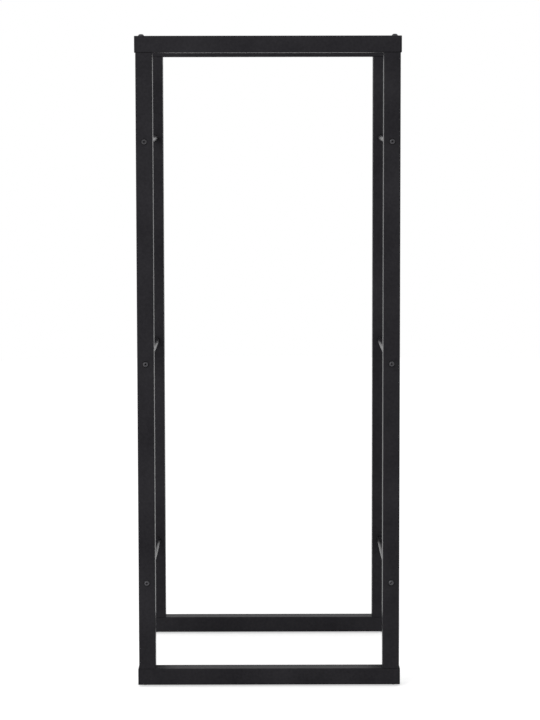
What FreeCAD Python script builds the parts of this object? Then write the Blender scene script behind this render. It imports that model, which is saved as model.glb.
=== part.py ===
# Firewood rack: a front and a back frame of square steel tube, tied together by six round rods.
# In each frame a top and a bottom rail run over the ends of two posts and are screwed to them.
# The rack stands on the domed heads of the screws under its bottom rails.
# Millimetres. The origin is on the floor under the middle of the rack: +X is to the right of
# someone who faces it, -Y is its front and +Z is up.

import FreeCAD, Part
import math
import os

import Sketcher
from FreeCAD import Placement, Rotation, Vector

SIZES = {
    # The frame: over the posts, over the rails, and from the front face to the back face
    "frame_width": 400.0,
    "frame_height": 994.5,
    "frame_depth": 350.0,
    # Square tube of the posts and rails
    "tube_size": 25.4,
    "tube_wall": 1.5,
    "tube_corner_radius": 2.0,
    "tube_inside_radius": 0.8,
    # Rods: the distance is from a rail's outer face to the axis of the nearest rod
    "rod_diameter": 10.0,
    "rod_end_distance": 159.25,
    "rod_chamfer": 0.6,
    "rod_fit": 0.15,
    "tap_run_out": 3.5,
    "drill_point": 1.5,
    # Button-head socket screws, all of one thread
    "screw_diameter": 5.0,
    "screw_tip_chamfer": 0.6,
    "head_diameter": 9.5,
    "head_height": 2.75,
    "head_rim": 0.4,
    "head_flat_diameter": 4.8,
    "socket_width": 3.0,
    "socket_depth": 1.6,
    # How much wider than the screw a clearance hole and a tapped hole are
    "screw_fit": 0.5,
    "thread_fit": 0.1,
    # How far a screw reaches past the wall or the rail that its head clamps
    "rod_screw_reach": 14.5,
    "frame_screw_reach": 9.6,
    # From the end of a rail to the axis of its frame screw
    "frame_screw_inset": 8.5,
    # Threaded plates in the ends of the posts
    "plate_thickness": 4.0,
    "plate_fit": 0.1,
    # Plugs in the ends of the rails: a flange outside, and a ribbed hollow stem in the tube
    "plug_flange": 1.5,
    "plug_edge_radius": 0.8,
    "plug_wall": 1.6,
    "plug_fit": 0.1,
    "plug_rib_height": 0.6,
    "plug_rib_thickness": 0.8,
    "plug_rib_margin": 0.8,
    "plug_screw_gap": 0.75,
}

# Sizes that follow from the ones above
TUBE_INSIDE = "(dim.tube_size - 2 * dim.tube_wall)"
CLEARANCE_HOLE = "(dim.screw_diameter + dim.screw_fit)"
TAPPED_HOLE = "(dim.screw_diameter + dim.thread_fit)"
POST_LENGTH = "(dim.frame_height - 2 * dim.tube_size)"
ROD_LENGTH = "(dim.frame_depth - 2 * dim.tube_wall)"
ROD_PITCH = "(dim.frame_height / 2 - dim.rod_end_distance)"
ROD_HOLE = "(dim.rod_diameter + dim.rod_fit)"
ROD_SCREW_LENGTH = "(dim.tube_wall + dim.rod_screw_reach)"
FRAME_SCREW_LENGTH = "(dim.tube_size + dim.frame_screw_reach)"
PLUG_DEPTH = f"(dim.frame_screw_inset - {CLEARANCE_HOLE} / 2 - dim.plug_screw_gap)"
RIB_WIDTH = f"({TUBE_INSIDE} - 2 * dim.plug_fit)"
STEM_WIDTH = f"({RIB_WIDTH} - 2 * dim.plug_rib_height)"
STEM_HOLLOW = f"({STEM_WIDTH} - 2 * dim.plug_wall)"

# Places that pieces share, measured from the middle of the rack and from the floor
POST_X = "((dim.frame_width - dim.tube_size) / 2)"
TUBE_Y = "((dim.frame_depth - dim.tube_size) / 2)"
FACE_Y = "(dim.frame_depth / 2)"
RAIL_END_X = "(dim.frame_width / 2)"
FRAME_SCREW_X = "(dim.frame_width / 2 - dim.frame_screw_inset)"
FRAME_BOTTOM_Z = "dim.head_height"
FRAME_TOP_Z = "(dim.head_height + dim.frame_height)"
FRAME_MIDDLE_Z = "(dim.head_height + dim.frame_height / 2)"
POST_BOTTOM_Z = "(dim.head_height + dim.tube_size)"
POST_TOP_Z = f"({FRAME_TOP_Z} - dim.tube_size)"

SIDES = {"left": "-", "right": "+"}
FRAMES = {"front": "-", "back": "+"}
RAIL_HEIGHTS = {
    "bottom": f"{FRAME_BOTTOM_Z} + dim.tube_size / 2",
    "top": f"{FRAME_TOP_Z} - dim.tube_size / 2",
}
PLATE_HEIGHTS = {
    "bottom": POST_BOTTOM_Z,
    "top": f"{POST_TOP_Z} - dim.plate_thickness",
}
ROD_HEIGHTS = {
    "lower": f"{FRAME_MIDDLE_Z} - {ROD_PITCH}",
    "middle": FRAME_MIDDLE_Z,
    "upper": f"{FRAME_MIDDLE_Z} + {ROD_PITCH}",
}

UNTURNED = Rotation()
HALF_TURN = Rotation(Vector(0, 0, 1), 180)
HEAD_UP = Rotation(Vector(1, 0, 0), -90)
HEAD_DOWN = Rotation(Vector(1, 0, 0), 90)

# A sketch's constraints number its fixed axes downwards from -1, and an element's points from 1
HORIZONTAL_AXIS, VERTICAL_AXIS = range(-1, -3, -1)
START, END, CENTRE = range(1, 4)
ORIGIN = (HORIZONTAL_AXIS, START)

# A face or an edge lies in a plane when it is this close to it
TOUCH = 1e-4

doc = FreeCAD.newDocument("firewood_rack")
dim = doc.addObject("Spreadsheet::Sheet", "dim")
for row, (alias, number) in enumerate(SIZES.items(), start=1):
    dim.set(f"A{row}", alias)
    dim.set(f"B{row}", str(number))
    dim.setAlias(f"B{row}", alias)
doc.recompute()

# Each finished sub-part, with the number of separate solids that it holds
subparts = []


def value(expression):
    """The present value of an expression of the sheet's sizes."""
    return float(dim.evalExpression(expression))


def new_body(name, solids=1):
    body = doc.addObject("PartDesign::Body", name)
    body.Label = name
    body.AllowCompound = solids > 1
    subparts.append((body, solids))
    return body


def place(body, x, y, z, rotation=UNTURNED):
    body.Placement = Placement(Vector(), rotation)
    body.setExpression("Placement.Base.x", x)
    body.setExpression("Placement.Base.y", y)
    body.setExpression("Placement.Base.z", z)


def datum(body, role):
    """One of the body's own origin planes or axes."""
    return next(feature for feature in body.Origin.OriginFeatures if feature.Role == role)


def new_sketch(body, name, plane, offset=None):
    """A sketch on one of the body's origin planes, or lifted off it along its normal."""
    sketch = body.newObject("Sketcher::SketchObject", name)
    sketch.AttachmentSupport = [(datum(body, plane), "")]
    sketch.MapMode = "FlatFace"
    if offset:
        sketch.setExpression("AttachmentOffset.Base.z", offset)
    return sketch


def bind(sketch, name, expression, kind, *elements):
    """Adds a dimension to a sketch and ties it to an expression."""
    index = sketch.addConstraint(Sketcher.Constraint(kind, *elements, value(expression)))
    sketch.renameConstraint(index, name)
    sketch.setExpression(f"Constraints.{name}", expression)


def draw_rounded_square(sketch, name, width, radius):
    """A square about the origin: four sides, each followed anticlockwise by a round corner."""
    half = value(width) / 2
    corner = value(radius)
    flat = half - corner
    sides = []
    corners = []
    for quarter in range(4):
        turn = Rotation(Vector(0, 0, 1), 90 * quarter)
        start = turn.multVec(Vector(half, -flat, 0))
        end = turn.multVec(Vector(half, flat, 0))
        circle = Part.Circle(turn.multVec(Vector(flat, flat, 0)), Vector(0, 0, 1), corner)
        angle = quarter * math.pi / 2
        sides.append(sketch.addGeometry(Part.LineSegment(start, end)))
        corners.append(sketch.addGeometry(Part.ArcOfCircle(circle, angle, angle + math.pi / 2)))
    for quarter in range(4):
        upright = "Vertical" if quarter % 2 == 0 else "Horizontal"
        following = sides[(quarter + 1) % 4]
        sketch.addConstraint(Sketcher.Constraint(upright, sides[quarter]))
        sketch.addConstraint(Sketcher.Constraint("Tangent", sides[quarter], END, corners[quarter], START))
        sketch.addConstraint(Sketcher.Constraint("Tangent", corners[quarter], END, following, START))
        if quarter:
            sketch.addConstraint(Sketcher.Constraint("Equal", corners[0], corners[quarter]))
    opposite = (corners[0], CENTRE, corners[2], CENTRE)
    sketch.addConstraint(Sketcher.Constraint("Symmetric", *opposite, *ORIGIN))
    bind(sketch, f"{name}_across", width, "DistanceX", sides[2], START, sides[0], START)
    bind(sketch, f"{name}_up", width, "DistanceY", sides[3], START, sides[1], START)
    bind(sketch, f"{name}_radius", radius, "Radius", corners[0])


def fix_point(sketch, name, element, point, x, y):
    """Puts a point at two expressions, or on an axis where an expression is None."""
    if x is None:
        sketch.addConstraint(Sketcher.Constraint("PointOnObject", element, point, VERTICAL_AXIS))
    else:
        bind(sketch, f"{name}_x", x, "DistanceX", *ORIGIN, element, point)
    if y is None:
        sketch.addConstraint(Sketcher.Constraint("PointOnObject", element, point, HORIZONTAL_AXIS))
    else:
        bind(sketch, f"{name}_y", y, "DistanceY", *ORIGIN, element, point)


def point_at(x, y):
    return Vector(value(x) if x else 0, value(y) if y else 0, 0)


def draw_circle(sketch, name, diameter, x=None, y=None):
    circle = Part.Circle(point_at(x, y), Vector(0, 0, 1), value(diameter) / 2)
    index = sketch.addGeometry(circle)
    bind(sketch, f"{name}_diameter", diameter, "Diameter", index)
    fix_point(sketch, name, index, CENTRE, x, y)


def draw_outline(sketch, points, dome=None):
    """A closed outline, anticlockwise; the side after point number dome is centred on the vertical axis."""
    places = [point_at(x, y) for x, y in points]
    for number, start in enumerate(places):
        end = places[(number + 1) % len(places)]
        if number == dome:
            sketch.addGeometry(dome_arc(start, end))
            sketch.addConstraint(Sketcher.Constraint("PointOnObject", number, CENTRE, VERTICAL_AXIS))
        else:
            sketch.addGeometry(Part.LineSegment(start, end))
    for number, (x, y) in enumerate(points):
        before = (number - 1) % len(points)
        sketch.addConstraint(Sketcher.Constraint("Coincident", before, END, number, START))
        fix_point(sketch, f"point_{number}", number, START, x, y)


def dome_arc(start, end):
    """The arc from start anticlockwise to end whose centre is on the vertical axis."""
    height = (end.x**2 + end.y**2 - start.x**2 - start.y**2) / (2 * (end.y - start.y))
    circle = Part.Circle(Vector(0, height, 0), Vector(0, 0, 1), math.hypot(start.x, start.y - height))
    return Part.ArcOfCircle(
        circle,
        math.atan2(start.y - height, start.x),
        math.atan2(end.y - height, end.x),
    )


def draw_hexagon(sketch, name, across_flats):
    """A hexagon about the origin with two of its sides upright."""
    reach = value(across_flats) / math.sqrt(3)
    corners = []
    for sixth in range(6):
        angle = math.radians(60 * sixth - 30)
        corners.append(Vector(reach * math.cos(angle), reach * math.sin(angle), 0))
    sides = []
    for sixth in range(6):
        line = Part.LineSegment(corners[sixth], corners[(sixth + 1) % 6])
        sides.append(sketch.addGeometry(line))
    ring = sketch.addGeometry(Part.Circle(Vector(), Vector(0, 0, 1), reach), True)
    sketch.addConstraint(Sketcher.Constraint("Coincident", ring, CENTRE, *ORIGIN))
    for sixth in range(6):
        following = sides[(sixth + 1) % 6]
        sketch.addConstraint(Sketcher.Constraint("Coincident", sides[sixth], END, following, START))
        sketch.addConstraint(Sketcher.Constraint("PointOnObject", sides[sixth], END, ring))
        if sixth:
            sketch.addConstraint(Sketcher.Constraint("Equal", sides[0], sides[sixth]))
    sketch.addConstraint(Sketcher.Constraint("Vertical", sides[0]))
    bind(sketch, f"{name}_flats", across_flats, "DistanceX", sides[3], START, sides[0], START)


def add_pad(body, name, sketch, length, side="One side", backwards=False):
    pad = body.newObject("PartDesign::Pad", name)
    pad.Profile = sketch
    pad.SideType = side
    pad.Reversed = backwards
    pad.setExpression("Length", length)
    return pad


def add_through_cut(body, name, sketch, side="One side", backwards=False):
    pocket = body.newObject("PartDesign::Pocket", name)
    pocket.Profile = sketch
    pocket.Type = "ThroughAll"
    pocket.SideType = side
    pocket.Reversed = backwards
    return pocket


def add_blind_cut(body, name, sketch, depth):
    pocket = body.newObject("PartDesign::Pocket", name)
    pocket.Profile = sketch
    pocket.setExpression("Length", depth)
    return pocket


def add_revolution(body, name, sketch):
    revolution = body.newObject("PartDesign::Revolution", name)
    revolution.Profile = sketch
    revolution.ReferenceAxis = (sketch, ["V_Axis"])
    revolution.Angle = 360
    return revolution


def add_row(body, name, features, axis, length, count):
    """Repeats features along one of the body's axes; length runs from the first to the last."""
    row = body.newObject("PartDesign::LinearPattern", name)
    row.Originals = features
    row.Direction = (datum(body, axis), [""])
    row.Occurrences = count
    row.setExpression("Length", length)
    body.Tip = row
    return row


def draw_tube_section(sketch):
    draw_rounded_square(sketch, "outside", "dim.tube_size", "dim.tube_corner_radius")
    draw_rounded_square(sketch, "inside", TUBE_INSIDE, "dim.tube_inside_radius")


def make_post(name):
    """An upright tube: screw holes in its outer wall, and rod holes facing them in its inner wall."""
    body = new_body(name)
    section = new_sketch(body, "post_section", "XY_Plane")
    draw_tube_section(section)
    add_pad(body, "post_tube", section, POST_LENGTH)
    lowest_hole = f"{POST_LENGTH} / 2 - {ROD_PITCH}"
    screw_circle = new_sketch(body, "screw_hole_circle", "XZ_Plane")
    draw_circle(screw_circle, "screw_hole", CLEARANCE_HOLE, y=lowest_hole)
    screw_hole = add_through_cut(body, "screw_hole", screw_circle, backwards=True)
    rod_circle = new_sketch(body, "rod_hole_circle", "XZ_Plane")
    draw_circle(rod_circle, "rod_hole", ROD_HOLE, y=lowest_hole)
    rod_hole = add_through_cut(body, "rod_hole", rod_circle)
    holes = [screw_hole, rod_hole]
    add_row(body, "rod_hole_row", holes, "Z_Axis", f"2 * {ROD_PITCH}", len(ROD_HEIGHTS))
    return body


def make_rail(name):
    """A level tube with an upright screw hole through both walls over each post."""
    body = new_body(name)
    section = new_sketch(body, "rail_section", "YZ_Plane")
    draw_tube_section(section)
    add_pad(body, "rail_tube", section, "dim.frame_width", side="Symmetric")
    circles = new_sketch(body, "frame_screw_circles", "XY_Plane")
    for side, sign in SIDES.items():
        draw_circle(circles, side, CLEARANCE_HOLE, x=f"{sign}{FRAME_SCREW_X}")
    add_through_cut(body, "frame_screw_holes", circles, side="Symmetric")
    return body


def make_rod(name):
    """A round bar along Y with chamfered ends, drilled and tapped at both."""
    body = new_body(name)
    end = f"{ROD_LENGTH} / 2"
    tap_end = f"{end} - dim.rod_screw_reach - dim.tap_run_out"
    radius = "dim.rod_diameter / 2"
    shoulder = f"{radius} - dim.rod_chamfer"
    tap_radius = f"{TAPPED_HOLE} / 2"
    half = [
        (None, f"{tap_end} - dim.drill_point"),
        (tap_radius, tap_end),
        (tap_radius, end),
        (shoulder, end),
        (radius, f"{end} - dim.rod_chamfer"),
    ]
    mirrored_half = [(x, f"-({y})") for x, y in half]
    outline = new_sketch(body, "rod_outline", "XY_Plane")
    draw_outline(outline, mirrored_half + half[::-1])
    add_revolution(body, "rod_bar", outline)
    return body


def make_plate(name):
    """A plate that closes the end of a post, with a tapped hole on the outer side of its middle."""
    body = new_body(name)
    outline = new_sketch(body, "plate_outline", "XY_Plane")
    draw_rounded_square(outline, "plate", f"{TUBE_INSIDE} - 2 * dim.plate_fit", "dim.tube_inside_radius")
    add_pad(body, "plate_blank", outline, "dim.plate_thickness")
    circle = new_sketch(body, "tapped_hole_circle", "XY_Plane")
    draw_circle(circle, "tapped_hole", TAPPED_HOLE, x="dim.frame_screw_inset - dim.tube_size / 2")
    add_through_cut(body, "tapped_hole", circle, backwards=True)
    return body


def make_plug(name):
    """A moulded plug: a soft-edged flange, and a hollow stem whose ribs grip the inside of the tube."""
    body = new_body(name)
    flange_outline = new_sketch(body, "flange_outline", "YZ_Plane")
    draw_rounded_square(flange_outline, "flange", "dim.tube_size", "dim.tube_corner_radius")
    flange = add_pad(body, "flange", flange_outline, "dim.plug_flange", backwards=True)
    doc.recompute()
    outer_face_x = flange.Shape.BoundBox.XMin
    rounded = body.newObject("PartDesign::Fillet", "flange_edge")
    rounded.Base = (flange, edges_in_plane_x(flange.Shape, outer_face_x))
    rounded.setExpression("Radius", "dim.plug_edge_radius")
    stem_outline = new_sketch(body, "stem_outline", "YZ_Plane")
    draw_rounded_square(stem_outline, "stem", STEM_WIDTH, "dim.tube_inside_radius")
    draw_rounded_square(stem_outline, "hollow", STEM_HOLLOW, "dim.tube_inside_radius")
    add_pad(body, "stem", stem_outline, PLUG_DEPTH)
    rib_outline = new_sketch(body, "rib_outline", "YZ_Plane", offset="dim.plug_rib_margin")
    draw_rounded_square(rib_outline, "rib", RIB_WIDTH, "dim.tube_inside_radius")
    draw_rounded_square(rib_outline, "hollow", STEM_HOLLOW, "dim.tube_inside_radius")
    rib = add_pad(body, "rib", rib_outline, "dim.plug_rib_thickness")
    last_rib = f"{PLUG_DEPTH} - 2 * dim.plug_rib_margin - dim.plug_rib_thickness"
    add_row(body, "ribs", [rib], "X_Axis", last_rib, 2)
    return body


def edges_in_plane_x(shape, x):
    """The names of a shape's edges that lie in the plane at x."""
    names = []
    for number, edge in enumerate(shape.Edges, start=1):
        box = edge.BoundBox
        if abs(box.XMin - x) < TOUCH and abs(box.XMax - x) < TOUCH:
            names.append(f"Edge{number}")
    return names


def make_screws(name, length, across, up, up_count):
    """A block of button-head screws along +Y, in two columns across X and in rows up Z."""
    body = new_body(name, solids=2 * up_count)
    shank_radius = "dim.screw_diameter / 2"
    head_radius = "dim.head_diameter / 2"
    outline = new_sketch(body, "screw_outline", "XY_Plane")
    points = [
        (None, "-dim.head_height"),
        ("dim.head_flat_diameter / 2", "-dim.head_height"),
        (head_radius, "-dim.head_rim"),
        (head_radius, None),
        (shank_radius, None),
        (shank_radius, f"{length} - dim.screw_tip_chamfer"),
        (f"{shank_radius} - dim.screw_tip_chamfer", length),
        (None, length),
    ]
    draw_outline(outline, points, dome=1)
    screw = add_revolution(body, "screw", outline)
    hexagon = new_sketch(body, "socket_hexagon", "XZ_Plane", offset="dim.head_height")
    draw_hexagon(hexagon, "socket", "dim.socket_width")
    socket = add_blind_cut(body, "socket", hexagon, "dim.socket_depth")
    block = add_row(body, "screw_block", [screw, socket], "X_Axis", across, 2)
    block.Direction2 = (datum(body, "Z_Axis"), [""])
    block.Occurrences2 = up_count
    block.setExpression("Length2", up)
    return body


def build_frames():
    for frame, y in FRAMES.items():
        outwards = HALF_TURN if frame == "back" else UNTURNED
        for side, x in SIDES.items():
            post = make_post(f"{frame}_{side}_post")
            place(post, f"{x}{POST_X}", f"{y}{TUBE_Y}", POST_BOTTOM_Z, outwards)
        for level, z in RAIL_HEIGHTS.items():
            rail = make_rail(f"{frame}_{level}_rail")
            place(rail, "0", f"{y}{TUBE_Y}", z)


def build_rods():
    for side, x in SIDES.items():
        for level, z in ROD_HEIGHTS.items():
            place(make_rod(f"{side}_{level}_rod"), f"{x}{POST_X}", "0", z)


def build_plates_and_plugs():
    for frame, y in FRAMES.items():
        for side, x in SIDES.items():
            inwards = HALF_TURN if side == "right" else UNTURNED
            for level, z in PLATE_HEIGHTS.items():
                plate = make_plate(f"{frame}_{side}_post_{level}_plate")
                place(plate, f"{x}{POST_X}", f"{y}{TUBE_Y}", z, inwards)
            for level, z in RAIL_HEIGHTS.items():
                plug = make_plug(f"{frame}_{level}_rail_{side}_plug")
                place(plug, f"{x}{RAIL_END_X}", f"{y}{TUBE_Y}", z, inwards)


def build_screws():
    between_posts = "dim.frame_width - dim.tube_size"
    lowest = ROD_HEIGHTS["lower"]
    rod_block = (ROD_SCREW_LENGTH, between_posts, f"2 * {ROD_PITCH}", len(ROD_HEIGHTS))
    place(make_screws("front_rod_screws", *rod_block), f"-{POST_X}", f"-{FACE_Y}", lowest)
    place(make_screws("back_rod_screws", *rod_block), POST_X, FACE_Y, lowest, HALF_TURN)
    frame_block = (FRAME_SCREW_LENGTH, f"2 * {FRAME_SCREW_X}", f"2 * {TUBE_Y}", len(FRAMES))
    corner_x = f"-{FRAME_SCREW_X}"
    place(make_screws("top_frame_screws", *frame_block), corner_x, f"-{TUBE_Y}", FRAME_TOP_Z, HEAD_UP)
    place(make_screws("bottom_frame_screws", *frame_block), corner_x, TUBE_Y, FRAME_BOTTOM_Z, HEAD_DOWN)


def check_document():
    for item in doc.Objects:
        if "Invalid" in item.State or "Error" in item.State:
            raise RuntimeError(f"{item.Label} failed: {item.State}")
        if item.TypeId == "PartDesign::Pocket" and item.Shape.Volume >= item.BaseFeature.Shape.Volume:
            raise RuntimeError(f"{item.Label} cuts nothing")
    for body, solids in subparts:
        if body.Shape.isNull() or not body.Shape.isValid():
            raise RuntimeError(f"{body.Label} has no valid shape")
        if len(body.Shape.Solids) != solids:
            raise RuntimeError(f"{body.Label} has {len(body.Shape.Solids)} solids, not {solids}")


def write_parts():
    os.makedirs("parts", exist_ok=True)
    for body, _ in subparts:
        body.Shape.exportStep(f"parts/{body.Label}.step")


build_frames()
build_rods()
build_plates_and_plugs()
build_screws()
doc.recompute()
check_document()
write_parts()
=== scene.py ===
# The looks of a firewood rack: square tube, round rods, end plugs and screws, all black,
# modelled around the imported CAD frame. Metres; the frame's own axes, with the front at -Y.

import math

import bmesh
import bpy
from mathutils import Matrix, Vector


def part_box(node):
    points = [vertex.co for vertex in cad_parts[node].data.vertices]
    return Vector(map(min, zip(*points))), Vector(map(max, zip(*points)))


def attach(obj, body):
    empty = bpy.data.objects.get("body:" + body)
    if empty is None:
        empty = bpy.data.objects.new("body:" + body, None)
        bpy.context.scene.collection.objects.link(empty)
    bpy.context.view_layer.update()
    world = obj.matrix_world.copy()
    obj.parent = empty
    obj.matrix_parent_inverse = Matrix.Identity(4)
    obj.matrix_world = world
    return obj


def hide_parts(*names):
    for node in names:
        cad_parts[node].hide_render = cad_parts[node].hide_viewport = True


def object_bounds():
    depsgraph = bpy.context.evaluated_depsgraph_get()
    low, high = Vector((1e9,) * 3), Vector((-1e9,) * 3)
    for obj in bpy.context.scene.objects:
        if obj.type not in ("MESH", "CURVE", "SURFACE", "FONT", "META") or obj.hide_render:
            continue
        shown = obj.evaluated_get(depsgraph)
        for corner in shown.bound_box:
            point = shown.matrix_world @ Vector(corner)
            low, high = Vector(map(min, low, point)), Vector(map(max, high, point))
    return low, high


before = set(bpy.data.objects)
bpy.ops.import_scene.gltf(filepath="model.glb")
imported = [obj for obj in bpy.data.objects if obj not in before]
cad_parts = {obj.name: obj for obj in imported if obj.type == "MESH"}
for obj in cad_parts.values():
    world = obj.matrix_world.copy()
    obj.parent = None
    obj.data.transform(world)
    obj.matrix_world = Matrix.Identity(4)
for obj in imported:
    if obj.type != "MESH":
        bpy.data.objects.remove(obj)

bl_info = {
    "name": "Firewood rack",
    "version": (1, 0, 0),
    "blender": (4, 5, 0),
    "location": "3D View > Sidebar > Firewood Rack",
    "description": "Models a bolted rack of black square tube around its CAD frame",
    "category": "Object",
}

MM = 0.001
X, Y, Z = range(3)
BODY = "root"

# The words that the CAD nodes are named by, and the nodes that come in sets
FRAMES = ("front", "back")
SIDES = ("left", "right")
LEVELS = ("bottom", "top")
ROD_LEVELS = ("lower", "middle", "upper")
RAILS = [f"{frame_name}_{level}_rail" for frame_name in FRAMES for level in LEVELS]
RODS = [f"{side}_{level}_rod" for side in SIDES for level in ROD_LEVELS]
POSTS = [f"{frame_name}_{side}_post" for frame_name in FRAMES for side in SIDES]
PLATES = [f"{post}_{level}_plate" for post in POSTS for level in LEVELS]

# The CAD box of the whole rack, and of one piece of each kind
CAD_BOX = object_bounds()
POST_LOW, POST_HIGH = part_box("front_left_post")
RAIL_LOW, RAIL_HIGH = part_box("front_bottom_rail")
ROD_LOW, ROD_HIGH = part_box("left_lower_rod")
PLUG_LOW, PLUG_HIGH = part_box("front_bottom_rail_left_plug")
ROD_SCREWS_LOW, ROD_SCREWS_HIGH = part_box("front_rod_screws")
FRAME_SCREWS_LOW, FRAME_SCREWS_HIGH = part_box("bottom_frame_screws")

# Places and sizes that pieces share
RACK_MIDDLE = (CAD_BOX[0] + CAD_BOX[1]) / 2
POST_AXIS = (POST_LOW + POST_HIGH) / 2
ROD_AXIS = (ROD_LOW + ROD_HIGH) / 2
ROD_BOXES = [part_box(f"left_{level}_rod") for level in ROD_LEVELS]
ROD_HEIGHTS = [(low.z + high.z) / 2 for low, high in ROD_BOXES]
TUBE_SIZE = POST_HIGH.x - POST_LOW.x

# A set of screws reaches one head's radius beyond the axis of its last screw on the right.
# POST_AXIS is that of a left post, so its x is below zero.
HEAD_RADIUS = ROD_SCREWS_HIGH.x + POST_AXIS.x
FRAME_SCREW_X = FRAME_SCREWS_HIGH.x - HEAD_RADIUS

# How finely round shapes are divided
CORNER_SEGMENTS = 6
SMALL_EDGE_SEGMENTS = 4
ROD_SIDES = 64
SCREW_SIDES = 48
HOLE_SIDES = 48
SOCKET_SIDES = 6
FLOOR_SIDES = 96
DOME_STEPS = 10

# How near counts as being at a place, and as being on the rim of a hole
CLOSE = 1e-6
ON_RIM = 0.1 * MM

# Faces that meet at less than this angle are shaded as one surface
SMOOTH_ANGLE = math.radians(25)


def linear(code):
    """An sRGB hex code as linear red, green and blue."""
    channels = []
    for start in (1, 3, 5):
        level = int(code[start:start + 2], 16) / 255
        if level <= 0.04045:
            channels.append(level / 12.92)
        else:
            channels.append(((level + 0.055) / 1.055) ** 2.4)
    return tuple(channels)


def length(name, description, default):
    """A property that holds a length in metres."""
    return bpy.props.FloatProperty(
        name=name, description=description, default=default, min=0.0, precision=5, unit="LENGTH"
    )


def colour(name, description, code):
    """A property that holds a colour, given as an sRGB hex code."""
    return bpy.props.FloatVectorProperty(
        name=name, description=description, default=linear(code), min=0.0, max=1.0, subtype="COLOR"
    )


def share(name, description, default):
    """A property that holds a share, from 0 to 1."""
    return bpy.props.FloatProperty(
        name=name, description=description, default=default, min=0.0, max=1.0, subtype="FACTOR"
    )


class RackSizes(bpy.types.PropertyGroup):
    """Sizes of the pieces that their CAD boxes don't give"""

    corner_radius: length("Tube corner", "Outside radius of the tube's long corners", 2.0 * MM)
    tube_wall: length("Tube wall", "Thickness of the tube", 1.5 * MM)
    sawn_edge: length("Sawn edge", "Softening of a tube's cut ends under the coating", 0.35 * MM)
    hole_edge: length("Hole edge", "Softening of the holes that the rods go into", 0.3 * MM)
    screw_hole: length("Screw hole", "Diameter of a screw's clearance hole", 5.5 * MM)
    rod_hole: length("Rod hole", "Diameter of the hole that a rod goes into", 10.15 * MM)
    rod_chamfer: length("Rod chamfer", "Chamfer on the ends of a rod", 0.6 * MM)
    tapped_hole: length("Tapped hole", "Diameter of the hole in the end of a rod", 5.1 * MM)
    tapped_depth: length("Tapped depth", "Depth of the hole in the end of a rod", 18.0 * MM)
    drill_point: length("Drill point", "Length of the cone at the bottom of that hole", 1.5 * MM)
    plug_edge: length("Plug edge", "Radius of the outer edge of a plug's flange", 0.8 * MM)
    plug_wall: length("Plug wall", "Thickness of a plug's hollow stem", 1.6 * MM)
    plug_stem: length("Plug stem", "Width of a plug's stem between its ribs", 21.0 * MM)
    plug_rib: length("Plug rib", "Width of a plug's stem over its ribs", 22.2 * MM)
    rib_thickness: length("Rib thickness", "Thickness of a rib along the stem", 0.8 * MM)
    rib_margin: length("Rib margin", "From either end of the stem to the nearest rib", 0.8 * MM)
    head_flat: length("Head flat", "Diameter of the flat on top of a screw's dome", 4.8 * MM)
    head_rim: length("Head rim", "Height of the straight rim under a screw's dome", 0.4 * MM)
    shank: length("Shank", "Diameter of a screw's shank", 5.0 * MM)
    tip_chamfer: length("Tip chamfer", "Chamfer on the tip of a screw", 0.6 * MM)
    socket_width: length("Socket width", "Hexagon socket across its flats", 3.0 * MM)
    socket_depth: length("Socket depth", "Depth of the hexagon socket", 1.6 * MM)
    socket_mouth: length("Socket mouth", "Diameter of the cone at the socket's mouth", 3.9 * MM)
    socket_drill: length("Socket drill", "Diameter of the hole that the socket is broached in", 2.8 * MM)
    socket_point: length("Socket point", "Length of the cone at the bottom of that hole", 0.8 * MM)
    drill_web: length("Drill web", "Width of the blunt tip of that cone", 0.3 * MM)


class RackFinishes(bpy.types.PropertyGroup):
    """Colours and roughness of the rack's finishes"""

    coat_deep: colour("Coat, deep", "Darker tone of the powder coat", "#242326")
    coat_pale: colour("Coat, pale", "Lighter tone of the powder coat", "#333235")
    tube_roughness: share("Tube roughness", "Roughness of the powder coat on the tubes", 0.303)
    bar_roughness: share("Bar roughness", "Roughness of the powder coat on the rods", 0.20)
    plug_deep: colour("Plug, deep", "Darker tone of the moulded plugs", "#1F1F21")
    plug_pale: colour("Plug, pale", "Lighter tone of the moulded plugs", "#28282A")
    plug_roughness: share("Plug roughness", "Roughness of the moulded plugs", 0.55)
    screw_deep: colour("Screw, deep", "Darker tone of the blackened screws", "#313133")
    screw_pale: colour("Screw, pale", "Lighter tone of the blackened screws", "#555457")
    screw_roughness: share("Screw roughness", "Roughness of the blackened screws", 0.22)
    steel_deep: colour("Steel, deep", "Darker tone of the bare steel plates", "#6E6D6A")
    steel_pale: colour("Steel, pale", "Lighter tone of the bare steel plates", "#9A9894")
    steel_roughness: share("Steel roughness", "Roughness of the bare steel plates", 0.45)


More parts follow.
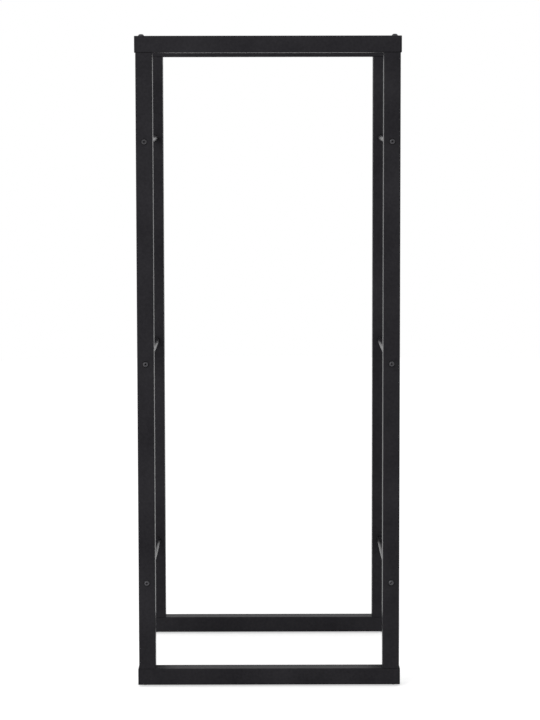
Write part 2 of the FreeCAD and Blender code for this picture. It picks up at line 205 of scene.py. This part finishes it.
class RackStage(bpy.types.PropertyGroup):
    """The floor, the light and the camera"""

    floor_colour: colour("Floor", "Colour of the pale floor", "#E6E6E6")
    floor_radius: length("Floor radius", "Radius of the round floor", 4.0)
    floor_lift: share("Floor lift", "Share of white that the floor shows under its shadow", 0.58)
    room_light: share("Room light", "Even light from all round", 0.62)
    softbox_size: length("Softbox", "Side of the square softbox", 1.4)
    softbox_power: bpy.props.FloatProperty(
        name="Softbox power", description="Power of the softbox", default=18.0, min=0.0, unit="POWER"
    )
    softbox_place: bpy.props.FloatVectorProperty(
        name="Softbox place",
        description="Where the softbox hangs",
        default=(-1.3, -1.8, 1.5),
        subtype="TRANSLATION",
        unit="LENGTH",
    )
    camera_place: bpy.props.FloatVectorProperty(
        name="Camera place",
        description="Where the camera stands",
        default=(-0.0027, -3.3667, 0.9018),
        subtype="TRANSLATION",
        unit="LENGTH",
    )
    camera_turn: bpy.props.FloatVectorProperty(
        name="Camera turn",
        description="The camera's tilt, lean and heading",
        default=(math.radians(85.487), math.radians(0.099), math.radians(-0.100)),
        subtype="EULER",
        unit="ROTATION",
    )
    camera_lens: bpy.props.FloatProperty(
        name="Lens", description="Focal length in millimetres", default=105.61, min=1.0, unit="CAMERA"
    )
    camera_shift: bpy.props.FloatProperty(
        name="Shift", description="Upward shift of the picture, in picture heights", default=-0.1306
    )


def add_node(tree, kind, inputs, **settings):
    """Adds a node with its settings; each input is a value, or an output that is linked to it."""
    node = tree.nodes.new(kind)
    for name, setting in settings.items():
        setattr(node, name, setting)
    for key, given in inputs.items():
        if isinstance(given, bpy.types.NodeSocket):
            tree.links.new(given, node.inputs[key])
        else:
            node.inputs[key].default_value = given
    return node


def start_material(name):
    """A new material with an empty node tree, and its tree."""
    material = bpy.data.materials.new(name)
    material.use_nodes = True
    material.node_tree.nodes.clear()
    return material, material.node_tree


# Socket numbers of the Mix node when it mixes numbers, and when it mixes colours
MIX_FACTOR = 0
NUMBER_A, NUMBER_B, NUMBER_RESULT = 2, 3, 0
COLOUR_A, COLOUR_B, COLOUR_RESULT = 6, 7, 2

WHITE = (1.0, 1.0, 1.0, 1.0)

# Noise seldom leaves this range, which is stretched to the whole of a finish's range
NOISE_LOW, NOISE_HIGH = 0.3, 0.7

# How many finer layers the noise has, and how much of the tone's drift comes from the grain
CLOUD_DETAIL = 4.0
GRAIN_DETAIL = 2.0
GRAIN_SHARE = 0.35


def surface(name, tones, roughness, spread, cloud, grain, relief, **shader):
    """A finish whose tone drifts over clouds and grain, and whose gloss and surface follow the grain.

    Cloud, grain and relief are sizes in metres: of the clouds, of the grain and of its height.
    A finish that is there already is used again.
    """
    if name in bpy.data.materials:
        return bpy.data.materials[name]
    material, tree = start_material(name)
    place = add_node(tree, "ShaderNodeTexCoord", {}).outputs["Object"]
    clouds = add_node(
        tree, "ShaderNodeTexNoise", {"Vector": place, "Scale": 1 / cloud, "Detail": CLOUD_DETAIL}
    )
    grains = add_node(
        tree, "ShaderNodeTexNoise", {"Vector": place, "Scale": 1 / grain, "Detail": GRAIN_DETAIL}
    )
    noise = grains.outputs["Fac"]
    mottle = add_node(
        tree,
        "ShaderNodeMix",
        {MIX_FACTOR: GRAIN_SHARE, NUMBER_A: clouds.outputs["Fac"], NUMBER_B: noise},
    )
    drift = add_node(
        tree,
        "ShaderNodeMapRange",
        {"Value": mottle.outputs[NUMBER_RESULT], "From Min": NOISE_LOW, "From Max": NOISE_HIGH},
    )
    deep, pale = tones
    tone = add_node(
        tree,
        "ShaderNodeMix",
        {MIX_FACTOR: drift.outputs["Result"], COLOUR_A: (*deep, 1.0), COLOUR_B: (*pale, 1.0)},
        data_type="RGBA",
    )
    gloss = add_node(
        tree,
        "ShaderNodeMapRange",
        {
            "Value": noise,
            "From Min": NOISE_LOW,
            "From Max": NOISE_HIGH,
            "To Min": roughness - spread,
            "To Max": roughness + spread,
        },
    )
    bump = add_node(tree, "ShaderNodeBump", {"Height": noise, "Strength": 1.0, "Distance": relief})
    principled = add_node(
        tree,
        "ShaderNodeBsdfPrincipled",
        {
            "Base Color": tone.outputs[COLOUR_RESULT],
            "Roughness": gloss.outputs["Result"],
            "Normal": bump.outputs["Normal"],
            **shader,
        },
    )
    add_node(tree, "ShaderNodeOutputMaterial", {"Surface": principled.outputs["BSDF"]})
    return material


def powder_coat(name, roughness, finishes):
    """Black polyester powder coat, baked on: satin, faintly cloudy, with a fine orange peel."""
    # Real orange peel is about 1.5 mm from crest to crest; it is drawn at 4 mm, and higher in
    # proportion, where it just shows.
    # The coat's fine structure scatters most of the mirror reflection, so it reflects less than a bare film.
    return surface(
        name,
        (finishes.coat_deep, finishes.coat_pale),
        roughness,
        spread=0.03,
        cloud=90 * MM,
        grain=4 * MM,
        relief=0.2 * MM,
        **{"IOR": 1.5, "Specular IOR Level": 0.02},
    )


def tube_coat(finishes):
    """The coat as it lies on rolled and welded tube: soft in its reflections."""
    return powder_coat("satin black powder coat on tube", finishes.tube_roughness, finishes)


def bar_coat(finishes):
    """The coat on drawn bar, which is smoother under it: a little brighter in its reflections."""
    return powder_coat("satin black powder coat on drawn bar", finishes.bar_roughness, finishes)


def moulded_plastic(finishes):
    """Black polyethylene from a spark-eroded mould: matt, with a fine even grain."""
    # The mould's grain is about 0.3 mm; it is drawn at 1.5 mm so that it shows.
    # It breaks up the mirror reflection, so the plugs are as dull as the coat beside them.
    return surface(
        "moulded black polyethylene",
        (finishes.plug_deep, finishes.plug_pale),
        finishes.plug_roughness,
        spread=0.06,
        cloud=12 * MM,
        grain=1.5 * MM,
        relief=0.02 * MM,
        **{"IOR": 1.51, "Specular IOR Level": 0.08},
    )


def blackened_steel(finishes):
    """Black-oxide alloy steel: a dark metal with a dull sheen, patchy where the oil has dried."""
    # The oxide's patches are real at 2 mm; its crystals are far finer and are drawn at 0.8 mm.
    return surface(
        "black oxide steel",
        (finishes.screw_deep, finishes.screw_pale),
        finishes.screw_roughness,
        spread=0.07,
        cloud=2 * MM,
        grain=0.8 * MM,
        relief=0.01 * MM,
        Metallic=1.0,
    )


def bare_steel(finishes):
    """Hot-rolled mild steel, pickled: grey, dull, with faint blotches left by the scale."""
    # The pickled grain is about 0.1 mm; it is drawn at 1 mm so that it shows.
    return surface(
        "pickled mild steel",
        (finishes.steel_deep, finishes.steel_pale),
        finishes.steel_roughness,
        spread=0.08,
        cloud=8 * MM,
        grain=1 * MM,
        relief=0.02 * MM,
        Metallic=1.0,
    )


def start_block(low, high):
    """A block between two corners, with its place in its mesh, open for editing."""
    bpy.ops.object.select_all(action="DESELECT")
    bpy.ops.mesh.primitive_cube_add(size=1, location=(low + high) / 2, scale=high - low)
    return open_for_editing()


def start_bar(centre, radius, depth, axis, sides):
    """A round bar about a point along one axis, with its place in its mesh, open for editing."""
    upright_to_axis = {X: (0, math.pi / 2, 0), Y: (math.pi / 2, 0, 0), Z: (0, 0, 0)}
    bpy.ops.object.select_all(action="DESELECT")
    bpy.ops.mesh.primitive_cylinder_add(
        vertices=sides, radius=radius, depth=depth, location=centre, rotation=upright_to_axis[axis]
    )
    return open_for_editing()


def open_for_editing():
    """Puts a new primitive's place into its mesh, and opens it in edit mode."""
    bpy.ops.object.transform_apply(location=True, rotation=True, scale=True)
    bpy.ops.object.mode_set(mode="EDIT")
    return bpy.context.object


def close_editing(piece):
    """Leaves edit mode, and hands on the piece that was edited."""
    bpy.ops.object.mode_set(mode="OBJECT")
    return piece


def make_active(piece):
    """Selects one piece alone, for the operators that follow."""
    bpy.ops.object.select_all(action="DESELECT")
    piece.select_set(True)
    bpy.context.view_layer.objects.active = piece


def pick(piece, kind, test):
    """Selects the vertices, edges or faces that pass a test, and nothing else."""
    bpy.ops.mesh.select_mode(type=kind)
    bpy.ops.mesh.select_all(action="DESELECT")
    shape = bmesh.from_edit_mesh(piece.data)
    items = {"VERT": shape.verts, "EDGE": shape.edges, "FACE": shape.faces}[kind]
    found = [item for item in items if test(item)]
    if not found:
        raise RuntimeError(f"{piece.name} has no {kind.lower()} to shape there")
    for item in found:
        item.select_set(True)
    bmesh.update_edit_mesh(piece.data)


def runs_along(edge, axis):
    """Whether an edge is parallel to an axis."""
    across = edge.verts[1].co - edge.verts[0].co
    return abs(across[axis]) > across.length - CLOSE


def lies_at(item, axis, place):
    """Whether all of an edge or a face is at one place along an axis."""
    return all(abs(vert.co[axis] - place) < CLOSE for vert in item.verts)


def push(axis, distance):
    """Extrudes what is selected along an axis."""
    way = Vector()
    way[axis] = distance
    bpy.ops.mesh.extrude_region_move(TRANSFORM_OT_translate={"value": way})


def widen(axis, factor, centre):
    """Scales what is selected about a point, across an axis."""
    scale = Vector((factor, factor, factor))
    scale[axis] = 1.0
    bpy.ops.transform.resize(value=scale, center_override=centre)


def bevel(offset, segments):
    """Rounds the edges that are selected, or chamfers them where there is one segment."""
    bpy.ops.mesh.bevel(offset=offset, segments=segments, clamp_overlap=False)


def make_tube(low, high, axis, sizes):
    """Square tube between two corners: round long corners, hollow, its cut ends softened."""
    tube = start_block(low, high)
    pick(tube, "EDGE", lambda edge: runs_along(edge, axis))
    bevel(sizes.corner_radius, CORNER_SEGMENTS)
    ends = (low[axis], high[axis])
    pick(tube, "EDGE", lambda edge: any(lies_at(edge, axis, end) for end in ends))
    bevel(sizes.sawn_edge, SMALL_EDGE_SEGMENTS)
    pick(tube, "FACE", lambda face: any(lies_at(face, axis, end) for end in ends))
    bpy.ops.mesh.inset(thickness=sizes.tube_wall - sizes.sawn_edge)
    bpy.ops.mesh.bridge_edge_loops()
    return close_editing(tube)


def cut(piece, cutter):
    """Takes the cutter's shape out of a piece, and the cutter out of the scene."""
    make_active(piece)
    modifier = piece.modifiers.new("cut", "BOOLEAN")
    modifier.operation = "DIFFERENCE"
    modifier.solver = "EXACT"
    modifier.object = cutter
    bpy.ops.object.modifier_apply(modifier=modifier.name)
    bpy.data.objects.remove(cutter)


def cut_hole(piece, centre, diameter, depth, axis):
    """Cuts a round hole along an axis, half of its depth to either side of a point."""
    cut(piece, close_editing(start_bar(centre, diameter / 2, depth, axis, HOLE_SIDES)))


def soften_rim(piece, axis, place, centre, radius, offset):
    """Bevels the rim of a round hole in the flat face at one place along an axis."""
    make_active(piece)
    bpy.ops.object.mode_set(mode="EDIT")

    def on_rim(edge):
        if not lies_at(edge, axis, place):
            return False
        for vert in edge.verts:
            spoke = vert.co - centre
            spoke[axis] = 0
            if abs(spoke.length - radius) > ON_RIM:
                return False
        return True

    pick(piece, "EDGE", on_rim)
    bevel(offset, SMALL_EDGE_SEGMENTS)
    close_editing(piece)


def copy_piece(piece, shift, half_turn=None):
    """A copy with its own mesh, moved, or turned half round about an axis through the rack's middle."""
    make_active(piece)
    bpy.ops.object.duplicate()
    copy = bpy.context.object
    bpy.ops.transform.translate(value=shift)
    if half_turn:
        bpy.ops.transform.rotate(value=math.pi, orient_axis=half_turn, center_override=RACK_MIDDLE)
    bpy.ops.object.transform_apply(location=True, rotation=True, scale=True)
    return copy


def copy_to_node(piece, low, node):
    """A copy of a piece, moved from the piece's own low corner to that of a CAD node."""
    return copy_piece(piece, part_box(node)[0] - low)


def dress(pieces, form, material):
    """Names each piece for the CAD node that it stands for, and gives it its finish and smooth shading."""
    for node, piece in pieces.items():
        piece.name = f"{node}_{form}"
        piece.data.name = piece.name
        piece.data.materials.clear()
        piece.data.materials.append(material)
        make_active(piece)
        bpy.ops.object.shade_smooth_by_angle(angle=SMOOTH_ANGLE)
        modifier = piece.modifiers.new("flat faces stay flat", "WEIGHTED_NORMAL")
        modifier.keep_sharp = True
        bpy.ops.object.modifier_apply(modifier=modifier.name)
        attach(piece, BODY)
        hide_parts(node)


class RACK_OT_posts(bpy.types.Operator):
    """Models the four posts: upright square tube with screw holes outside and rod holes inside"""

    bl_idname = "rack.posts"
    bl_label = "Posts"

    def execute(self, context):
        sizes = context.scene.rack_sizes
        post = make_tube(POST_LOW, POST_HIGH, Z, sizes)
        for height in ROD_HEIGHTS:
            outside = Vector((POST_AXIS.x, POST_LOW.y, height))
            inside = Vector((POST_AXIS.x, POST_HIGH.y, height))
            cut_hole(post, outside, sizes.screw_hole, TUBE_SIZE, Y)
            cut_hole(post, inside, sizes.rod_hole, TUBE_SIZE, Y)
            soften_rim(post, Y, POST_HIGH.y, inside, sizes.rod_hole / 2, sizes.hole_edge)
        across = Vector((-2 * POST_AXIS.x, 0, 0))
        posts = {
            "front_left_post": post,
            "front_right_post": copy_piece(post, across),
            "back_right_post": copy_piece(post, Vector(), half_turn="Z"),
            "back_left_post": copy_piece(post, across, half_turn="Z"),
        }
        dress(posts, "tube", tube_coat(context.scene.rack_finishes))
        return {"FINISHED"}


class RACK_OT_rails(bpy.types.Operator):
    """Models the four rails: level square tube with a screw hole over each post"""

    bl_idname = "rack.rails"
    bl_label = "Rails"

    def execute(self, context):
        sizes = context.scene.rack_sizes
        rail = make_tube(RAIL_LOW, RAIL_HIGH, X, sizes)
        middle = (RAIL_LOW + RAIL_HIGH) / 2
        for x in (-FRAME_SCREW_X, FRAME_SCREW_X):
            cut_hole(rail, Vector((x, middle.y, middle.z)), sizes.screw_hole, 2 * TUBE_SIZE, Z)
        rails = {node: copy_to_node(rail, RAIL_LOW, node) for node in RAILS}
        bpy.data.objects.remove(rail)
        dress(rails, "tube", tube_coat(context.scene.rack_finishes))
        return {"FINISHED"}


class RACK_OT_rods(bpy.types.Operator):
    """Models the six rods: round bar with chamfered ends, drilled and tapped at both"""

    bl_idname = "rack.rods"
    bl_label = "Rods"

    def execute(self, context):
        rod = self.make_rod(context.scene.rack_sizes)
        rods = {node: copy_to_node(rod, ROD_LOW, node) for node in RODS}
        bpy.data.objects.remove(rod)
        dress(rods, "bar", bar_coat(context.scene.rack_finishes))
        return {"FINISHED"}

    def make_rod(self, sizes):
        """The lower left rod: each end is chamfered, then set in and drawn inwards as a drilled hole."""
        radius = (ROD_HIGH.x - ROD_LOW.x) / 2
        rod = start_bar(ROD_AXIS, radius, ROD_HIGH.y - ROD_LOW.y, Y, ROD_SIDES)
        ends = {ROD_LOW.y: 1, ROD_HIGH.y: -1}
        pick(rod, "EDGE", lambda edge: any(lies_at(edge, Y, end) for end in ends))
        bevel(sizes.rod_chamfer, segments=1)
        for end, inwards in ends.items():
            pick(rod, "FACE", lambda face: lies_at(face, Y, end))
            bpy.ops.mesh.inset(thickness=radius - sizes.rod_chamfer - sizes.tapped_hole / 2)
            push(Y, inwards * sizes.tapped_depth)
            push(Y, inwards * sizes.drill_point)
            bpy.ops.mesh.merge(type="CENTER")
        return close_editing(rod)


class RACK_OT_plugs(bpy.types.Operator):
    """Models the eight plugs: a soft-edged flange, and a ribbed hollow stem inside the rail"""

    bl_idname = "rack.plugs"
    bl_label = "End plugs"

    def execute(self, context):
        left_plug = self.make_left_plug(context.scene.rack_sizes)
        right_plug = copy_piece(left_plug, Vector(), half_turn="Z")
        right_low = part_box("back_bottom_rail_right_plug")[0]
        plugs = {}
        for rail in RAILS:
            plugs[f"{rail}_left_plug"] = copy_to_node(left_plug, PLUG_LOW, f"{rail}_left_plug")
            plugs[f"{rail}_right_plug"] = copy_to_node(right_plug, right_low, f"{rail}_right_plug")
        bpy.data.objects.remove(left_plug)
        bpy.data.objects.remove(right_plug)
        dress(plugs, "moulding", moulded_plastic(context.scene.rack_finishes))
        return {"FINISHED"}

    def make_left_plug(self, sizes):
        """The left plug of the front bottom rail: its flange first, and the stem drawn out of that."""
        seat = RAIL_LOW.x
        plug = start_block(PLUG_LOW, Vector((seat, PLUG_HIGH.y, PLUG_HIGH.z)))
        pick(plug, "EDGE", lambda edge: runs_along(edge, X))
        bevel(sizes.corner_radius, CORNER_SEGMENTS)
        pick(plug, "EDGE", lambda edge: lies_at(edge, X, PLUG_LOW.x))
        bevel(sizes.plug_edge, CORNER_SEGMENTS)
        pick(plug, "EDGE", lambda edge: lies_at(edge, X, seat))
        bevel(sizes.sawn_edge, SMALL_EDGE_SEGMENTS)
        pick(plug, "FACE", lambda face: lies_at(face, X, seat))
        stem_length = PLUG_HIGH.x - seat
        between_ribs = stem_length - 2 * sizes.rib_margin - 2 * sizes.rib_thickness
        hollow = sizes.plug_stem - 2 * sizes.plug_wall
        # Each step is a length of the stem and the width that it has
        steps = (
            (sizes.rib_margin, sizes.plug_stem),
            (sizes.rib_thickness, sizes.plug_rib),
            (between_ribs, sizes.plug_stem),
            (sizes.rib_thickness, sizes.plug_rib),
            (sizes.rib_margin, sizes.plug_stem),
            (-stem_length, hollow),
        )
        width = TUBE_SIZE - 2 * sizes.sawn_edge
        middle = (PLUG_LOW + PLUG_HIGH) / 2
        for reach, new_width in steps:
            push(X, 0.0)
            widen(X, new_width / width, middle)
            push(X, reach)
            width = new_width
        return close_editing(plug)


class RACK_OT_screws(bpy.types.Operator):
    """Models the button-head screws that hold the rods and the rails, in four sets"""

    bl_idname = "rack.screws"
    bl_label = "Screws"

    def execute(self, context):
        sizes = context.scene.rack_sizes
        rod_seats = []
        for height in ROD_HEIGHTS:
            for x in (POST_AXIS.x, -POST_AXIS.x):
                rod_seats.append(Vector((x, POST_LOW.y, height)))
        rod_tip = ROD_SCREWS_HIGH.y - POST_LOW.y
        rod_head = POST_LOW.y - ROD_SCREWS_LOW.y
        front = self.make_set(rod_seats, Y, rod_tip, rod_head, sizes)
        frame_seats = []
        for y in (POST_AXIS.y, -POST_AXIS.y):
            for x in (-FRAME_SCREW_X, FRAME_SCREW_X):
                frame_seats.append(Vector((x, y, RAIL_LOW.z)))
        frame_tip = FRAME_SCREWS_HIGH.z - RAIL_LOW.z
        frame_head = RAIL_LOW.z - FRAME_SCREWS_LOW.z
        bottom = self.make_set(frame_seats, Z, frame_tip, frame_head, sizes)
        sets = {
            "front_rod_screws": front,
            "back_rod_screws": copy_piece(front, Vector(), half_turn="Z"),
            "bottom_frame_screws": bottom,
            "top_frame_screws": copy_piece(bottom, Vector(), half_turn="X"),
        }
        dress(sets, "set", blackened_steel(context.scene.rack_finishes))
        return {"FINISHED"}

    def make_set(self, seats, axis, tip, head, sizes):
        """One screw, copied to the other seats and joined into one piece."""
        first = self.make_screw(seats[0], axis, tip, head, sizes)
        copies = [copy_piece(first, seat - seats[0]) for seat in seats[1:]]
        make_active(first)
        for copy in copies:
            copy.select_set(True)
        bpy.ops.object.join()
        return first

    def make_screw(self, seat, axis, tip, head, sizes):
        """A shank from the seat to its chamfered tip, drawn out the other way into a domed head."""
        radius = sizes.shank / 2
        middle = seat.copy()
        middle[axis] += tip / 2
        screw = start_bar(middle, radius, tip, axis, SCREW_SIDES)
        pick(screw, "EDGE", lambda edge: lies_at(edge, axis, seat[axis] + tip))
        bevel(sizes.tip_chamfer, segments=1)
        pick(screw, "FACE", lambda face: lies_at(face, axis, seat[axis]))
        height = 0.0
        for new_radius, new_height in self.head_outline(head, sizes):
            push(axis, height - new_height)
            widen(axis, new_radius / radius, seat)
            radius = new_radius
            height = new_height
        close_editing(screw)
        self.cut_socket(screw, seat, axis, head, sizes)
        return screw

    def head_outline(self, head, sizes):
        """Radius and height of a screw's head, from under its rim up over its dome to its flat."""
        flat = sizes.head_flat / 2
        rim = sizes.head_rim
        # The dome is an arc from the rim to the flat, with its centre on the screw's axis
        centre = (flat**2 + head**2 - HEAD_RADIUS**2 - rim**2) / (2 * (head - rim))
        dome_radius = math.hypot(HEAD_RADIUS, rim - centre)
        start = math.atan2(rim - centre, HEAD_RADIUS)
        end = math.atan2(head - centre, flat)
        points = [(HEAD_RADIUS, 0.0)]
        for number in range(DOME_STEPS + 1):
            angle = start + (end - start) * number / DOME_STEPS
            points.append((dome_radius * math.cos(angle), centre + dome_radius * math.sin(angle)))
        return points

    def cut_socket(self, screw, seat, axis, head, sizes):
        """A hexagon socket with a cone at its mouth, and the drill's cone under it."""
        # Each cutter is centred on the head's flat, so that half of it stands clear of the head
        top = seat.copy()
        top[axis] -= head
        mouth = sizes.socket_mouth / 2
        depth = mouth - sizes.socket_width / 2
        cone = start_bar(top, mouth, 2 * depth, axis, SCREW_SIDES)
        # Half a side round, so that no edge of the cone meets a corner of the hexagon
        bpy.ops.transform.rotate(value=math.pi / SCREW_SIDES, orient_axis="XYZ"[axis], center_override=top)
        pick(cone, "FACE", lambda face: lies_at(face, axis, top[axis] + depth))
        widen(axis, (mouth - 2 * depth) / mouth, top)
        cut(screw, close_editing(cone))
        reach = sizes.socket_width / math.sqrt(3)
        cut(screw, close_editing(start_bar(top, reach, 2 * sizes.socket_depth, axis, SOCKET_SIDES)))
        drill = start_bar(top, sizes.socket_drill / 2, 2 * sizes.socket_depth, axis, SCREW_SIDES)
        pick(drill, "FACE", lambda face: lies_at(face, axis, top[axis] + sizes.socket_depth))
        push(axis, sizes.socket_point)
        widen(axis, sizes.drill_web / sizes.socket_drill, top)
        cut(screw, close_editing(drill))


class RACK_OT_plates(bpy.types.Operator):
    """Gives the threaded plates inside the posts a bare steel finish"""

    bl_idname = "rack.plates"
    bl_label = "Threaded plates"

    def execute(self, context):
        steel = bare_steel(context.scene.rack_finishes)
        for plate in PLATES:
            for material_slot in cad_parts[plate].material_slots:
                material_slot.material = steel
        return {"FINISHED"}


class RACK_OT_stage(bpy.types.Operator):
    """Sets up the floor, the light and the camera"""

    bl_idname = "rack.stage"
    bl_label = "Stage"

    def execute(self, context):
        stage = context.scene.rack_stage
        context.scene.view_settings.view_transform = "Standard"
        self.add_floor(stage)
        self.light_room(context.scene, stage)
        self.add_softbox(stage)
        self.add_camera(context.scene, stage)
        return {"FINISHED"}

    def seen_directly(self, tree):
        """1 for rays from the camera and for those that reflect or refract its view, otherwise 0."""
        path = add_node(tree, "ShaderNodeLightPath", {})
        glossy = add_node(
            tree,
            "ShaderNodeMath",
            {0: path.outputs["Is Camera Ray"], 1: path.outputs["Is Glossy Ray"]},
            operation="MAXIMUM",
        )
        seen = add_node(
            tree,
            "ShaderNodeMath",
            {0: glossy.outputs[0], 1: path.outputs["Is Transmission Ray"]},
            operation="MAXIMUM",
        )
        return seen.outputs[0]

    def add_floor(self, stage):
        """A pale floor that is lifted to white where no shadow falls on it."""
        material, tree = start_material("pale floor")
        matt = add_node(tree, "ShaderNodeBsdfDiffuse", {"Color": (*stage.floor_colour, 1.0)})
        lift = add_node(
            tree,
            "ShaderNodeMath",
            {0: self.seen_directly(tree), 1: stage.floor_lift},
            operation="MULTIPLY",
        )
        glow = add_node(tree, "ShaderNodeEmission", {"Strength": lift.outputs[0]})
        both = add_node(tree, "ShaderNodeAddShader", {0: matt.outputs[0], 1: glow.outputs[0]})
        add_node(tree, "ShaderNodeOutputMaterial", {"Surface": both.outputs[0]})
        bpy.ops.object.select_all(action="DESELECT")
        bpy.ops.mesh.primitive_circle_add(
            vertices=FLOOR_SIDES, radius=stage.floor_radius, fill_type="NGON"
        )
        floor = bpy.context.object
        floor.name = "floor"
        floor.data.materials.append(material)

    def light_room(self, scene, stage):
        """Even light from all round, and white where the room is seen."""
        world = bpy.data.worlds.new("white room")
        world.use_nodes = True
        tree = world.node_tree
        tree.nodes.clear()
        light = add_node(tree, "ShaderNodeBackground", {"Color": WHITE, "Strength": stage.room_light})
        white = add_node(tree, "ShaderNodeBackground", {"Color": WHITE, "Strength": 1.0})
        mixed = add_node(
            tree,
            "ShaderNodeMixShader",
            {0: self.seen_directly(tree), 1: light.outputs[0], 2: white.outputs[0]},
        )
        add_node(tree, "ShaderNodeOutputWorld", {"Surface": mixed.outputs[0]})
        scene.world = world

    def add_softbox(self, stage):
        """A square softbox in front on the left, turned to the rack's middle and not seen itself."""
        bpy.ops.object.select_all(action="DESELECT")
        bpy.ops.object.light_add(type="AREA", location=stage.softbox_place)
        softbox = bpy.context.object
        softbox.name = "softbox"
        softbox.data.size = stage.softbox_size
        softbox.data.energy = stage.softbox_power
        towards = RACK_MIDDLE - Vector(stage.softbox_place)
        softbox.rotation_euler = towards.to_track_quat("-Z", "Y").to_euler()
        softbox.visible_camera = False

    def add_camera(self, scene, stage):
        """The camera, at the photograph's viewing angle."""
        bpy.ops.object.camera_add(location=stage.camera_place, rotation=stage.camera_turn)
        camera = bpy.context.object
        camera.name = "camera"
        camera.data.lens = stage.camera_lens
        camera.data.shift_y = stage.camera_shift
        scene.camera = camera


# The operators, in the order in which the rack is built
STEPS = (
    RACK_OT_posts,
    RACK_OT_rails,
    RACK_OT_rods,
    RACK_OT_plugs,
    RACK_OT_screws,
    RACK_OT_plates,
    RACK_OT_stage,
)


class RACK_PT_sidebar(bpy.types.Panel):
    """Lists the rack's building steps, sizes, finishes and stage"""

    bl_idname = "RACK_PT_sidebar"
    bl_label = "Firewood Rack"
    bl_space_type = "VIEW_3D"
    bl_region_type = "UI"
    bl_category = "Firewood Rack"

    def draw(self, context):
        for step in STEPS:
            self.layout.operator(step.bl_idname)
        for group in (context.scene.rack_sizes, context.scene.rack_finishes, context.scene.rack_stage):
            box = self.layout.box()
            for name in group.__annotations__:
                box.prop(group, name)


CLASSES = (RackSizes, RackFinishes, RackStage, *STEPS, RACK_PT_sidebar)


def register():
    for kind in CLASSES:
        bpy.utils.register_class(kind)
    bpy.types.Scene.rack_sizes = bpy.props.PointerProperty(type=RackSizes)
    bpy.types.Scene.rack_finishes = bpy.props.PointerProperty(type=RackFinishes)
    bpy.types.Scene.rack_stage = bpy.props.PointerProperty(type=RackStage)


def unregister():
    del bpy.types.Scene.rack_stage
    del bpy.types.Scene.rack_finishes
    del bpy.types.Scene.rack_sizes
    for kind in reversed(CLASSES):
        bpy.utils.unregister_class(kind)


def main():
    register()
    bpy.ops.rack.posts()
    bpy.ops.rack.rails()
    bpy.ops.rack.rods()
    bpy.ops.rack.plugs()
    bpy.ops.rack.screws()
    bpy.ops.rack.plates()
    bpy.ops.rack.stage()


if __name__ == "__main__":
    main()
